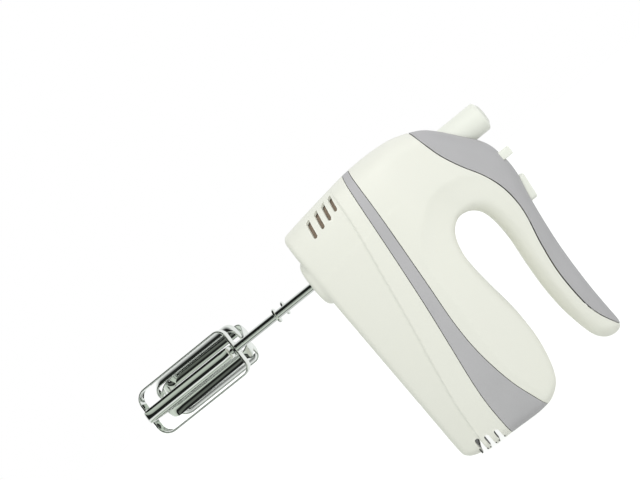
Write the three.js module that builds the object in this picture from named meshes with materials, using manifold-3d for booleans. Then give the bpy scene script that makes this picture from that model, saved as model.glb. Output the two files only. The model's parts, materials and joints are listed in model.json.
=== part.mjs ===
// A hand mixer as an assembly of separate pieces, in millimetres.
// It stands on its heel: +Z runs from the heel to the nose, +X from the beaters to the handle,
// and Y runs across, with the left beater on the -Y side. The origin is on the flat of the heel.
import * as THREE from 'three';
import { mergeVertices } from 'three/addons/utils/BufferGeometryUtils.js';
import Module from 'manifold-3d';

const wasm = await Module();
wasm.setup();

// ---- driving dimensions ----
const gap = 0.3;                 // air between pieces that touch on the real object
const wall = 2.4;                // moulded wall thickness
const coverWall = 3.2;           // the handle cover's wall
const bodyHalfWidth = 42;
const handleHalfWidth = 16;
const shaftZ = 156;              // both beater shafts stand at this distance from the heel
const shaftY = 19;               // half the distance between the beater shafts
const motorX = -8;               // height of the motor's axis in X

const shaftRadius = 2.75;
const shaftTop = 0;
const cageTop = -120;
const cageBottom = -198.5;
const cageRadius = 18.2;
const stripWidth = 9;
const stripThickness = 1.2;
const collarX = -84;
const beaterTurn = { left: 87, right: 31 };   // how far each cage is turned at rest, in degrees

const wheelTeeth = 28;
const wheelTip = 15.05;
const wheelRoot = 13.7;
const wheelPitch = 14.6;
const wheelFace = 7;
const hubRadius = 5.2;
const boreRadius = shaftRadius + 0.35;
const wormCore = 3.4;
const threadCentre = 3.9;
const threadRadius = 0.9;
const threadTurns = 4;
const threadLead = 2 * Math.PI * wheelPitch / wheelTeeth;

const ejectZ = 174.7;
const ejectRadius = 10.9;
const ejectTop = 109.8;
const turboZ = 118.2;
const sliderZ = 145.1;
const sliderRestY = -8;
const sliderTravel = 16;
const screwSites = [[-28.5, 51], [28.5, 51], [-28.5, 116], [28.5, 116]];
const handleScrewZ = [28, 100];

// ---- materials ----
const finish = (color, roughness, metalness = 0) => () => (
  new THREE.MeshStandardMaterial({ color, roughness, metalness }));
const whitePlastic = finish(0xecede3, 0.35);
const greyPlastic = finish(0xb0b0b2, 0.45);
const buttonPlastic = finish(0xf1f3e8, 0.3);
const chrome = finish(0xd8dadc, 0.08, 1);
const steel = finish(0xa9abad, 0.35, 1);
const laminations = finish(0x6f7276, 0.5, 1);
const copper = finish(0xb4622f, 0.35, 1);
const bronze = finish(0xa07c46, 0.45, 1);
const dieCast = finish(0x9b9da0, 0.5, 1);
const gearNylon = finish(0xe3dfcf, 0.5);
const blackPlastic = finish(0x1f2022, 0.5);
const carbon = finish(0x2b2b2d, 0.7);
const boardGreen = finish(0x2f5d3a, 0.6);
const leadSleeve = finish(0x8a2f28, 0.6);

// ---- solids from three.js geometry ----
function solidOf(geometry) {
  geometry.deleteAttribute('normal');
  geometry.deleteAttribute('uv');
  const merged = mergeVertices(geometry, 1e-4);
  const mesh = new wasm.Mesh({
    numProp: 3,
    vertProperties: new Float32Array(merged.attributes.position.array),
    triVerts: new Uint32Array(merged.index.array),
  });
  return new wasm.Manifold(mesh);
}

function geometryOf(solid) {
  const mesh = solid.getMesh();
  const geometry = new THREE.BufferGeometry();
  geometry.setAttribute('position', new THREE.BufferAttribute(new Float32Array(mesh.vertProperties), 3));
  geometry.setIndex(new THREE.BufferAttribute(new Uint32Array(mesh.triVerts), 1));
  geometry.computeVertexNormals();
  return geometry;
}

// Drops a point that repeats the one before it, as arcs that meet end to end make.
function withoutRepeats(points) {
  return points.filter((point, i) => point.distanceTo(points[(i + points.length - 1) % points.length]) > 1e-3);
}

// The points of an outline. A full circle gets the number of sides asked for, and an arc its share.
function outlinePoints(path, sides) {
  const points = path.curves.flatMap((curve) => {
    const sweep = curve.isEllipseCurve ? Math.abs(curve.aEndAngle - curve.aStartAngle) : 0;
    return curve.getPoints(sweep ? Math.max(2, Math.round(sides * sweep / (2 * Math.PI))) : 1);
  });
  return withoutRepeats(points);
}

function extrude(shape, depth, sides) {
  const outer = outlinePoints(shape, sides);
  if (THREE.ShapeUtils.isClockWise(outer)) outer.reverse();
  const outline = new THREE.Shape(outer);
  outline.holes = shape.holes.map((hole) => new THREE.Path(outlinePoints(hole, sides)));
  return new THREE.ExtrudeGeometry(outline, { depth, bevelEnabled: false });
}

// shape drawn in (x, y)
function alongZ(shape, from, to, sides = 20) {
  return solidOf(extrude(shape, to - from, sides).translate(0, 0, from));
}

// shape drawn in (x, z)
function alongY(shape, from, to, sides = 20) {
  return solidOf(extrude(shape, to - from, sides).rotateX(Math.PI / 2).translate(0, to, 0));
}

// shape drawn in (y, z)
const shapeToX = new THREE.Matrix4().makeBasis(
  new THREE.Vector3(0, 1, 0), new THREE.Vector3(0, 0, 1), new THREE.Vector3(1, 0, 0));
function alongX(shape, from, to, sides = 20) {
  return solidOf(extrude(shape, to - from, sides).applyMatrix4(shapeToX).translate(from, 0, 0));
}

const disc = (a, b, radius) => new THREE.Shape().absarc(a, b, radius, 0, 2 * Math.PI);
const rodX = (y, z, radius, from, to, sides) => alongX(disc(y, z, radius), from, to, sides);
const rodZ = (x, y, radius, from, to, sides) => alongZ(disc(x, y, radius), from, to, sides);

function ringShape(a, b, outer, inner) {
  const shape = disc(a, b, outer);
  shape.holes.push(new THREE.Path().absarc(a, b, inner, 0, 2 * Math.PI));
  return shape;
}

function block([x0, x1], [y0, y1], [z0, z1]) {
  const box = new THREE.BoxGeometry(x1 - x0, y1 - y0, z1 - z0);
  return solidOf(box.translate((x0 + x1) / 2, (y0 + y1) / 2, (z0 + z1) / 2));
}

function roundedRectangle(a0, a1, b0, b1, radius, path = new THREE.Shape()) {
  path.moveTo(a0 + radius, b0);
  path.lineTo(a1 - radius, b0);
  path.absarc(a1 - radius, b0 + radius, radius, -Math.PI / 2, 0);
  path.lineTo(a1, b1 - radius);
  path.absarc(a1 - radius, b1 - radius, radius, 0, Math.PI / 2);
  path.lineTo(a0 + radius, b1);
  path.absarc(a0 + radius, b1 - radius, radius, Math.PI / 2, Math.PI);
  path.lineTo(a0, b0 + radius);
  path.absarc(a0 + radius, b0 + radius, radius, Math.PI, 1.5 * Math.PI);
  return path;
}

function coil(along, radius, wire, from, to, turns, steps, sides) {
  class Helix extends THREE.Curve {
    getPoint(t, target = new THREE.Vector3()) {
      const angle = 2 * Math.PI * turns * t;
      return target.copy(along(radius * Math.cos(angle), radius * Math.sin(angle), from + (to - from) * t));
    }
  }
  const section = new THREE.Shape().absarc(0, 0, wire, 0, 2 * Math.PI);
  return solidOf(new THREE.ExtrudeGeometry(section, {
    steps: turns * steps, curveSegments: sides / 2, extrudePath: new Helix(), bevelEnabled: false,
  }));
}

// ---- the group that holds every piece ----
const mixer = new THREE.Group();

function addPiece(name, solid, material) {
  const mesh = new THREE.Mesh(geometryOf(solid), material());
  mesh.name = name;
  mixer.add(mesh);
}

// ---- outlines of the body, all points (x, z) or (x, y) or (z, y) ----
const spline = (points, divisions) => (
  new THREE.SplineCurve(points.map(([a, b]) => new THREE.Vector2(a, b))).getPoints(divisions));

const noseLine = [[-41, 194.4], [-30, 196.7], [-8, 199.7], [12, 202], [30, 202.7], [46, 201.3],
  [56, 198.7], [64, 195.4]];
const coverLine = [[64, 195.4], [71, 191.2], [78, 184.4], [87.8, 172.6], [96, 162], [100, 153],
  [102, 139], [101.4, 128], [98, 111], [93.6, 76], [92, 44], [92.5, 20], [90.8, 11.5]];
const handleTipLine = [[90.8, 11.5], [88, 8.9], [83.5, 8.2], [79, 9.8], [74.5, 14.5], [70.8, 24]];
const fingerGapLine = [[70.8, 24], [68, 40], [67.2, 55], [68.3, 78], [70.3, 97], [70.4, 112],
  [68.5, 122.5], [63.5, 129.5], [56, 132.8], [49.5, 131.8], [44, 126.5], [40.6, 118], [39.3, 106],
  [40, 92], [42.6, 76], [44.6, 58], [44, 42]];
const humpLine = [[44, 42], [40.8, 24], [35.5, 10.8], [27, 3.8], [17, 0.9], [9, 0]];
const heelFlat = [9, -23];
const heelLowerLine = [[-23, 0], [-31, 1.5], [-37, 3.2], [-41, 5.4], [-42.8, 10]];
const noseCornerLine = [[-47.6, 186], [-47, 190.2], [-44.8, 193], [-41, 194.4]];

function sideOutline() {
  return [
    ...spline(noseLine, 8).slice(0, -1),
    ...spline(coverLine, 18).slice(0, -1),
    ...spline(handleTipLine, 6).slice(0, -1),
    ...spline(fingerGapLine, 24).slice(0, -1),
    ...spline(humpLine, 8),
    ...spline(heelLowerLine, 4),
    ...spline(noseCornerLine, 3).slice(0, -1),
  ];
}

// Each half outline runs from one end of the piece to the other and is mirrored across y = 0.
const bodySectionLine = [[-49, 30], [-46.5, 34.5], [-42, 38], [-34, 40.2], [-10, 41.6],
  [8, bodyHalfWidth], [20, 40.5], [30, 36], [38, 29], [43, 21], [47.5, 6]];
const bodyPlanLine = [[-0.5, 31], [1.5, 34.5], [6, 37.5], [15, 39.6], [40, 41.6], [70, bodyHalfWidth],
  [150, bodyHalfWidth], [170, 41], [183, 38.4], [192, 34], [198, 28], [201.8, 20], [203.4, 10], [204, 3]];
const upperSectionLine = [[0, 38], [20, 37], [40, 33], [55, 28], [70, 24], [82, 20.5], [90, 16.5],
  [96, 12], [100, 7.5], [102.8, 2]];
const upperPlanLine = [[5, 12], [8, 14.5], [15, handleHalfWidth], [60, handleHalfWidth],
  [112, handleHalfWidth], [122, 17.5], [131, 21], [140, 26], [150, 30], [165, 32], [180, 30.5],
  [190, 26], [197, 18], [201.5, 9], [203.3, 3]];

function mirrored(line, divisions) {
  const half = spline(line, divisions);
  const other = half.map((p) => new THREE.Vector2(p.x, -p.y)).reverse();
  return [...half, ...other];
}

// Moves every point of a closed outline inward by the same distance.
function inset(points, distance) {
  const turn = Math.sign(THREE.ShapeUtils.area(points));
  return points.map((point, i) => {
    const before = points[(i + points.length - 1) % points.length];
    const after = points[(i + 1) % points.length];
    const incoming = point.clone().sub(before).normalize();
    const outgoing = after.clone().sub(point).normalize();
    const tangent = incoming.clone().add(outgoing).normalize();
    const stretch = distance / Math.max(0.5, tangent.dot(outgoing));
    return new THREE.Vector2(point.x - turn * tangent.y * stretch, point.y + turn * tangent.x * stretch);
  });
}

const swapped = (points) => points.map((p) => new THREE.Vector2(p.y, p.x));

// The outer form of the whole casing, or its hollow when insets are given: one for the side outline
// and one for the outlines across it.
function casingForm(sideInset = 0, crossInset = 0) {
  const place = (points) => new THREE.Shape(crossInset ? inset(points, crossInset) : points);
  const outline = sideInset ? inset(sideOutline(), sideInset) : sideOutline();
  const side = alongY(new THREE.Shape(outline), -60, 60);
  const body = alongZ(place(mirrored(bodySectionLine, 9)), -20, 230)
    .intersect(alongX(place(swapped(mirrored(bodyPlanLine, 11))), -70, 130));
  const upper = alongZ(place(mirrored(upperSectionLine, 8)), -20, 230)
    .intersect(alongX(place(swapped(mirrored(upperPlanLine, 13))), -70, 130));
  return side.intersect(body.add(upper));
}

// ---- parting lines, as (z, x) ----
const bandLowerLine = [[215, 10.8], [199.5, 9.8], [165, 7], [133, 4], [101, 0.6], [70, -3.4],
  [44, -6.8], [25, -8.1], [0, -7.4], [-15, -6.5]];
const bandUpperLine = [[215, 15.6], [199.9, 15.3], [165, 14.2], [114, 10.6], [82, 8.1], [57, 8.5],
  [31, 12.6], [12, 18.6], [0, 23], [-15, 29]];
const coverEdgeLine = [[215, 57], [196.5, 62.2], [183, 65.2], [170, 68.9], [156.6, 75], [143, 82.6],
  [130, 87.2], [117, 88.8], [104, 88], [84, 83.9], [62, 81.1], [39, 81.5], [26, 84], [13, 89.8],
  [0, 97]];

// The slab between two parting lines, drawn in (x, z), with half a gap taken off each edge.
function regionBetween(lowerLine, upperLine) {
  const lower = spline(lowerLine, 13).map((p) => new THREE.Vector2(p.y + gap / 2, p.x));
  const upper = spline(upperLine, 13).map((p) => new THREE.Vector2(p.y - gap / 2, p.x)).reverse();
  return alongY(new THREE.Shape([...lower, ...upper]), -60, 60);
}

const farBelow = [[215, -80], [-15, -80]];
const farAbove = [[215, 140], [0, 140]];
const outerForm = casingForm();
const hollow = casingForm(wall, wall);
const coverHollow = casingForm(coverWall, wall);

// ---- casing ----
function screwBoss(y, z, from, to, radius = 4.2) {
  return rodX(y, z, radius, from, to, 10).intersect(outerForm);
}

function lowerHousing() {
  const floorX = -44;
  let shell = outerForm.subtract(hollow);
  const bossShape = roundedRectangle(-34, 34, shaftZ - 17.5, shaftZ + 17.5, 15);
  shell = shell.add(alongX(bossShape, -51.5, floorX, 8));
  for (const [y, z] of screwSites) shell = shell.add(screwBoss(y, z, floorX - 1, -9));
  shell = shell.intersect(regionBetween(farBelow, bandLowerLine));
  for (const side of [-1, 1]) shell = shell.subtract(rodX(side * shaftY, shaftZ, 5, -60, floorX + 3, 16));
  for (const [y, z] of screwSites) {
    shell = shell.subtract(rodX(y, z, 3.4, -60, -24.3, 10)).subtract(rodX(y, z, 1.9, -30, 0, 8));
  }
  const noseSlots = [[-26.9, 179.4, 192.3], [-19.1, 181.4, 193.9], [-12.2, 183, 195], [-5.6, 185, 195.9]];
  for (const [x, from, to] of noseSlots) {
    shell = shell.subtract(block([x - 1.4, x + 1.4], [-60, 60], [from, to]));
  }
  const heelSlots = [[-28.6, 13.2], [-22.1, 11.9], [-14.9, 10.9]];
  for (const [x, depth] of heelSlots) {
    shell = shell.subtract(block([x - 1.8, x + 1.8], [-60, 60], [-10, depth]));
  }
  return shell;
}

function upperHousing() {
  let shell = outerForm.subtract(hollow);
  const shelf = block([58, 61], [-40, 40], [160, 215]).intersect(outerForm);
  shell = shell.add(shelf);
  for (const [y, z] of screwSites) shell = shell.add(screwBoss(y, z, 1, 60));
  for (const z of handleScrewZ) shell = shell.add(screwBoss(0, z, 60, 79.7, 4.5));
  shell = shell.intersect(regionBetween(bandUpperLine, coverEdgeLine).add(bossSpace()));
  shell = shell.subtract(rodX(0, ejectZ, 3.5, 50, 64, 16));
  for (const [y, z] of screwSites) shell = shell.subtract(rodX(y, z, 1.9, -2, 20, 8));
  for (const z of handleScrewZ) {
    shell = shell.subtract(rodX(0, z, 3.4, 50, 74.7, 10)).subtract(rodX(0, z, 1.9, 74, 82, 8));
  }
  return shell;
}

// The screw bosses of the upper housing reach down past its parting line, inside the trim band.
function bossSpace() {
  const columns = screwSites.map(([y, z]) => rodX(y, z, 4.2, 1, 30, 10));
  return columns.reduce((sum, column) => sum.add(column));
}

function trimBand() {
  return outerForm.subtract(hollow).intersect(regionBetween(bandLowerLine, bandUpperLine));
}

function handleCover() {
  let shell = outerForm.subtract(coverHollow);
  for (const z of handleScrewZ) shell = shell.add(screwBoss(0, z, 80, 120, 3.6));
  shell = shell.intersect(regionBetween(coverEdgeLine, farAbove).subtract(block([60, 80], [-60, 60], [-10, 110])));
  for (const z of handleScrewZ) shell = shell.subtract(rodX(0, z, 1.9, 70, 88, 8));
  shell = shell.subtract(rodX(0, ejectZ, ejectRadius + 0.4, 60, 120, 24));
  const groove = alongY(roundedRectangle(98, 110, sliderZ - 3.5, sliderZ + 3.5, 0.8), -60, 60, 4);
  shell = shell.subtract(groove);
  const slotHalf = sliderTravel / 2 + 3.6;
  shell = shell.subtract(block([80, 120], [-slotHalf, slotHalf], [sliderZ - 2.1, sliderZ + 2.1]));
  const turboHole = roundedRectangle(-8.4, 8.4, turboZ - 9.7, turboZ + 9.7, 3);
  return shell.subtract(alongX(turboHole, 80, 120, 6));
}

// ---- eject button, its fork and its spring ----
function ejectButton() {
  const profile = [[0, ejectTop], [5, ejectTop - 0.4], [9, ejectTop - 1.4], [ejectRadius, ejectTop - 3.4],
    [ejectRadius, 74], [8.9, 74], [8.9, ejectTop - 3.6], [0, ejectTop - 3.6]];
  const points = profile.map(([r, x]) => new THREE.Vector2(r, x)).reverse();
  return solidOf(new THREE.LatheGeometry(points, 24).rotateZ(-Math.PI / 2).translate(0, 0, ejectZ));
}

function ejectorFork() {
  const yoke = block([11, 15], [-shaftY - 3.5, shaftY + 3.5], [shaftZ - 4, shaftZ + 4]);
  const web = block([11, 15], [-5, 5], [shaftZ, ejectZ + 4]);
  const stem = rodX(0, ejectZ, 3, 12, ejectTop - 3.6 - gap, 16);
  const flange = rodX(0, ejectZ, 7.5, 84, 86, 20);
  let fork = yoke.add(web).add(stem).add(flange);
  for (const side of [-1, 1]) {
    fork = fork.add(rodX(side * shaftY, shaftZ, shaftRadius - 0.1, shaftTop + gap, 12, 16));
  }
  return fork;
}

const standingAt = (y, z) => (a, b, x) => new THREE.Vector3(x, y + a, z + b);

// ---- speed slider and turbo button ----
function speedSlider() {
  const nub = alongX(roundedRectangle(sliderRestY - 4, sliderRestY + 4, sliderZ - 3.1, sliderZ + 3.1, 1), 98.4, 107.8, 4);
  const neck = block([90.5, 99], [sliderRestY - 3.2, sliderRestY + 3.2], [sliderZ - 1.7, sliderZ + 1.7]);
  const plate = block([90, 91.4], [sliderRestY - 4, sliderRestY + 4], [sliderZ - 5, sliderZ + 5]);
  const pin = block([85.4, 90.5], [sliderRestY - 1.5, sliderRestY + 1.5], [sliderZ - 1.5, sliderZ + 1.5]);
  return nub.add(neck).add(plate).add(pin);
}

function speedSwitch() {
  const body = block([80, 89.6], [-13, 13], [sliderZ - 9, sliderZ + 9]);
  return body.subtract(block([85, 95], [-11.5, 11.5], [sliderZ - 1.9, sliderZ + 1.9]));
}

function turboButton() {
  const top = [[104.5, turboZ + 9.3], [105, turboZ + 7], [103.7, turboZ - 5], [103, turboZ - 8], [102.3, turboZ - 9.3]];
  const outline = [new THREE.Vector2(93.4, turboZ + 9.3), ...spline(top, 8), new THREE.Vector2(93.4, turboZ - 9.3)];
  const cap = alongY(new THREE.Shape(outline), -8, 8)
    .intersect(alongX(roundedRectangle(-8, 8, turboZ - 9.3, turboZ + 9.3, 3), 90, 110, 6));
  const flange = block([92, 93.8], [-9.4, 9.4], [turboZ - 11, turboZ + 11]);
  const hollowSpace = rodX(0, turboZ, 5, 90, 98, 16);
  return cap.add(flange).subtract(hollowSpace);
}

// ---- gear train ----
function wheelOutline() {
  const points = [];
  const step = 2 * Math.PI / wheelTeeth;
  const tipHalf = 0.375 / wheelTip;
  const rootHalf = 0.72 / wheelRoot;
  for (let tooth = 0; tooth < wheelTeeth; tooth += 1) {
    const corners = [[wheelRoot, -rootHalf], [wheelTip, -tipHalf], [wheelTip, tipHalf], [wheelRoot, rootHalf]];
    for (const [radius, turn] of corners) {
      const angle = tooth * step + turn;
      points.push(new THREE.Vector2(radius * Math.cos(angle), radius * Math.sin(angle)));
    }
  }
  return new THREE.Shape(points);
}

// A worm wheel with its hub. The teeth lean with the worm's thread.
function wormWheel(side) {
  const lean = threadLead / (2 * Math.PI * 4.2) / wheelPitch;
  const phase = side > 0 ? Math.PI / wheelTeeth : 0;
  const disk = new THREE.ExtrudeGeometry(wheelOutline(), { depth: wheelFace, steps: 1, bevelEnabled: false });
  disk.applyMatrix4(shapeToX).translate(-wheelFace / 2, 0, 0);
  const place = disk.attributes.position;
  for (let i = 0; i < place.count; i += 1) {
    const x = place.getX(i);
    const turn = phase + lean * x;
    const y = place.getY(i);
    const z = place.getZ(i);
    place.setXYZ(i, x, y * Math.cos(turn) - z * Math.sin(turn), y * Math.sin(turn) + z * Math.cos(turn));
  }
  const teeth = solidOf(disk.translate(motorX, side * shaftY, shaftZ));
  const hub = rodX(side * shaftY, shaftZ, hubRadius, -43, 2.5);
  return teeth.add(hub).subtract(rodX(side * shaftY, shaftZ, boreRadius, -50, 10));
}

function bush(side, from, to) {
  return alongX(ringShape(side * shaftY, shaftZ, 7.6, hubRadius + gap), from, to, 16);
}

function gearCradle() {
  let cradle = alongX(roundedRectangle(-33, 33, 134, 178, 8), -43, -39.4, 8);
  for (const y of [-22, 22]) {
    for (const z of [137.3, 174.7]) cradle = cradle.add(rodX(y, z, 2.6, -42, -1.3, 8));
  }
  for (const side of [-1, 1]) cradle = cradle.subtract(rodX(side * shaftY, shaftZ, 7.9, -50, -30));
  return cradle;
}

function gearCover() {
  let plate = alongX(roundedRectangle(-33, 33, 134, 178, 8), -1, 3, 8);
  for (const side of [-1, 1]) plate = plate.subtract(rodX(side * shaftY, shaftZ, 7.9, -5, 10));
  return plate;
}

// ---- motor ----
function armatureShaft() {
  const shaft = rodZ(motorX, 0, 2.5, 16, 186, 12);
  const wormRod = rodZ(motorX, 0, wormCore, shaftZ - 12, shaftZ + 12, 12);
  const spread = threadTurns * threadLead / 2;
  const aroundMotor = (a, b, z) => new THREE.Vector3(motorX + a, b, z);
  // the thread crosses the +Y side exactly at the wheels' centre line
  const middle = shaftZ - threadLead / 4;
  const thread = coil(aroundMotor, threadCentre, threadRadius, middle - spread, middle + spread, threadTurns, 12, 6);
  return shaft.add(wormRod).add(thread);
}

function armatureCore() {
  let core = alongZ(ringShape(motorX, 0, 13.5, 2.8), 65, 95, 24);
  for (let slot = 0; slot < 12; slot += 1) {
    const angle = slot * Math.PI / 6;
    const cut = new THREE.BoxGeometry(5, 1.6, 40);
    cut.translate(12.6, 0, 80).rotateZ(angle).translate(motorX, 0, 0);
    core = core.subtract(solidOf(cut));
  }
  return core;
}

function turnedPiece(profile, sides = 20) {
  const points = profile.map(([r, z]) => new THREE.Vector2(r, z));
  const lathe = new THREE.LatheGeometry([...points, points[0]], sides);
  return solidOf(lathe.rotateX(Math.PI / 2).translate(motorX, 0, 0));
}

function armatureWinding(from, to) {
  return turnedPiece([[2.8, from], [11, from], [12.4, from + 3], [12.4, to - 3], [11, to], [2.8, to]]);
}

function coolingFan() {
  let fan = alongZ(ringShape(motorX, 0, 6, 2.8), 114, 124, 16);
  fan = fan.add(alongZ(ringShape(motorX, 0, 24, 5), 114, 115.2, 24));
  for (let blade = 0; blade < 9; blade += 1) {
    const vane = new THREE.BoxGeometry(19, 1.2, 9.4);
    vane.rotateZ(0.25).translate(14.2, 0, 119.2).rotateZ(blade * 2 * Math.PI / 9).translate(motorX, 0, 0);
    fan = fan.add(solidOf(vane));
  }
  return fan.intersect(rodZ(motorX, 0, 24, 110, 130, 24).subtract(rodZ(motorX, 0, 2.8, 100, 140, 16)));
}

function statorCore() {
  const outline = roundedRectangle(motorX - 27, motorX + 27, -23, 23, 6);
  outline.holes.push(new THREE.Path().absarc(motorX, 0, 14.4, 0, 2 * Math.PI));
  let core = alongZ(outline, 65, 95, 20);
  for (const up of [-1, 1]) {
    for (const side of [-1, 1]) {
      const xs = [motorX + up * 17.5 - 3.6, motorX + up * 17.5 + 3.6];
      const ys = [side * 14.7 - 3.7, side * 14.7 + 3.7];
      core = core.subtract(block(xs, ys, [60, 100]));
    }
  }
  return core;
}

// A flat racetrack of wire around one pole of the stator.
function fieldCoil(up) {
  const outline = roundedRectangle(-18, 18, 56, 104, 5);
  outline.holes.push(roundedRectangle(-11.5, 11.5, 64.2, 95.8, 1, new THREE.Path()));
  const centre = motorX + up * 17.5;
  return alongX(outline, centre - 3.2, centre + 3.2, 5);
}

function bearingBracket(z, xs, halfWidth) {
  return block(xs, [-halfWidth, halfWidth], [z - 2, z + 2]).subtract(rodZ(motorX, 0, 6.3, z - 5, z + 5, 16));
}

const bearing = (z) => alongZ(ringShape(motorX, 0, 6, 2.5 + gap), z - 4, z + 4, 16);

function brushHolder(side) {
  const tube = roundedRectangle(motorX - 4, motorX + 4, 39, 47, 0.8);
  tube.holes.push(roundedRectangle(motorX - 2.8, motorX + 2.8, 40.2, 45.8, 0.5, new THREE.Path()));
  return side > 0 ? alongY(tube, 10, 26, 4) : alongY(tube, -26, -10, 4);
}

function carbonBrush(side) {
  const ys = side > 0 ? [8.4, 21] : [-21, -8.4];
  return block([motorX - 2.5, motorX + 2.5], ys, [40.5, 45.5]);
}

// ---- electrics in the handle ----
function lead(side) {
  const route = [[76.4, 8, 88], [75.2, 8, 100], [74.6, 8, 112], [72, 8, 124], [64, 9, 137],
    [50, 10, 141], [37, 14, 129], [29, 19, 104], [25, 20, 76], [14, 20, 52], [-3, 20, 43]];
  const points = route.map(([x, y, z]) => new THREE.Vector3(x, side * y, z));
  const section = new THREE.Shape().absarc(0, 0, 1.1, 0, 2 * Math.PI);
  return solidOf(new THREE.ExtrudeGeometry(section, {
    steps: 22, curveSegments: 3, extrudePath: new THREE.CatmullRomCurve3(points), bevelEnabled: false,
  }));
}

// ---- beaters ----
// One closed loop of strip: flat ends, long straight wings, round corners.
function stripLoop(side, turn, nesting) {
  const top = cageTop - nesting;
  const bottom = cageBottom + nesting;
  const path = (by, shape) => {
    const r1 = 6.5 - by;
    const r2 = 9 - by;
    const half = cageRadius - by;
    shape.moveTo(top - by, -half + r1);
    shape.absarc(top - by - r1, -half + r1, r1, 0, -Math.PI / 2, true);
    shape.absarc(bottom + by + r2, -half + r2, r2, -Math.PI / 2, -Math.PI, true);
    shape.absarc(bottom + by + r2, half - r2, r2, Math.PI, Math.PI / 2, true);
    shape.absarc(top - by - r1, half - r1, r1, Math.PI / 2, 0, true);
    shape.closePath();
    return shape;
  };
  const outline = path(0, new THREE.Shape());
  outline.holes.push(path(stripThickness, new THREE.Path()));
  const strip = extrude(outline, stripWidth, 20).translate(0, 0, -stripWidth / 2);
  strip.rotateX(THREE.MathUtils.degToRad(turn)).translate(0, side * shaftY, shaftZ);
  return solidOf(strip).subtract(rodX(side * shaftY, shaftZ, shaftRadius + gap, -230, -90, 16));
}

function addBeater(name, side) {
  const turn = beaterTurn[name];
  addPiece(`${name}_beater_shaft`, rodX(side * shaftY, shaftZ, shaftRadius, cageBottom - 0.6, shaftTop, 16), chrome);
  const collar = alongX(ringShape(side * shaftY, shaftZ, 5.7, shaftRadius + gap), collarX - 0.8, collarX + 0.8);
  addPiece(`${name}_beater_collar`, collar, chrome);
  addPiece(`${name}_beater_loop_a`, stripLoop(side, turn, 0), chrome);
  addPiece(`${name}_beater_loop_b`, stripLoop(side, turn + 90, stripThickness + gap), chrome);
}

function screw(y, z, headX, length) {
  return rodX(y, z, 3, headX, headX + 2, 10).add(rodX(y, z, 1.5, headX + 1, headX + length, 8));
}

// ---- the assembly ----
addPiece('lower_housing', lowerHousing(), whitePlastic);
addPiece('upper_housing', upperHousing(), whitePlastic);
addPiece('trim_band', trimBand(), greyPlastic);
addPiece('handle_cover', handleCover(), greyPlastic);

addPiece('eject_button', ejectButton(), buttonPlastic);
addPiece('ejector_fork', ejectorFork(), blackPlastic);
addPiece('ejector_spring', coil(standingAt(0, ejectZ), 5.6, 0.6, 62.1, 83.1, 5, 10, 4), steel);
addPiece('speed_slider', speedSlider(), buttonPlastic);
addPiece('speed_switch', speedSwitch(), blackPlastic);
addPiece('turbo_button', turboButton(), buttonPlastic);
addPiece('turbo_spring', coil(standingAt(0, turboZ), 3.4, 0.4, 88.8, 97.2, 4, 10, 4), steel);
addPiece('turbo_switch', block([80, 88], [-6, 6], [turboZ - 7, turboZ + 7]), blackPlastic);
addPiece('switch_carrier', block([77.5, 79.7], [-13, 13], [109, 155]), gearNylon);
addPiece('control_board', block([78, 79.6], [-11, 11], [36, 92]), boardGreen);
addPiece('noise_capacitor', block([79.9, 86.5], [-4.5, 4.5], [58, 76]), finish(0xc9b23a, 0.45));

addPiece('gear_cradle', gearCradle(), dieCast);
addPiece('gear_cover', gearCover(), dieCast);
for (const [name, side] of [['left', -1], ['right', 1]]) {
  addPiece(`${name}_gear`, wormWheel(side), gearNylon);
  addPiece(`${name}_lower_bush`, bush(side, -43, -39.4), bronze);
  addPiece(`${name}_upper_bush`, bush(side, -1, 3), bronze);
  addPiece(`${name}_brush_holder`, brushHolder(side), blackPlastic);
  addPiece(`${name}_carbon_brush`, carbonBrush(side), carbon);
  addPiece(`${name}_motor_lead`, lead(side), leadSleeve);
  addBeater(name, side);
}

addPiece('armature_shaft', armatureShaft(), steel);
addPiece('armature_core', armatureCore(), laminations);
addPiece('front_winding', armatureWinding(95.3, 106), copper);
addPiece('rear_winding', armatureWinding(54, 64.7), copper);
addPiece('commutator', alongZ(ringShape(motorX, 0, 8, 2.8), 37, 50), copper);
addPiece('cooling_fan', coolingFan(), blackPlastic);
addPiece('stator_core', statorCore(), laminations);
addPiece('upper_field_coil', fieldCoil(1), copper);
addPiece('lower_field_coil', fieldCoil(-1), copper);
addPiece('rear_bracket', bearingBracket(26, [-36, 20], 28), dieCast);
addPiece('rear_bearing', bearing(26), bronze);
addPiece('front_bracket', bearingBracket(181.5, [-30, 3], 20), dieCast);
addPiece('front_bearing', bearing(181.5), bronze);

screwSites.forEach(([y, z], i) => addPiece(`housing_screw_${i + 1}`, screw(y, z, -26.6, 42), steel));
handleScrewZ.forEach((z, i) => addPiece(`handle_screw_${i + 1}`, screw(0, z, 72.4, 15), steel));

export default mixer;
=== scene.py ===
# Hand mixer: moulded casing, buttons and beaters built around the working model.
# The mixer stands on its heel. X runs from the beaters to the handle, Z from the heel to the nose, Y across.
# The casing is worked out in millimetres and turned into metres when a mesh is made.
import json
import math

import bmesh
import bpy
import numpy as np
from mathutils import Matrix, Vector


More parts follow.
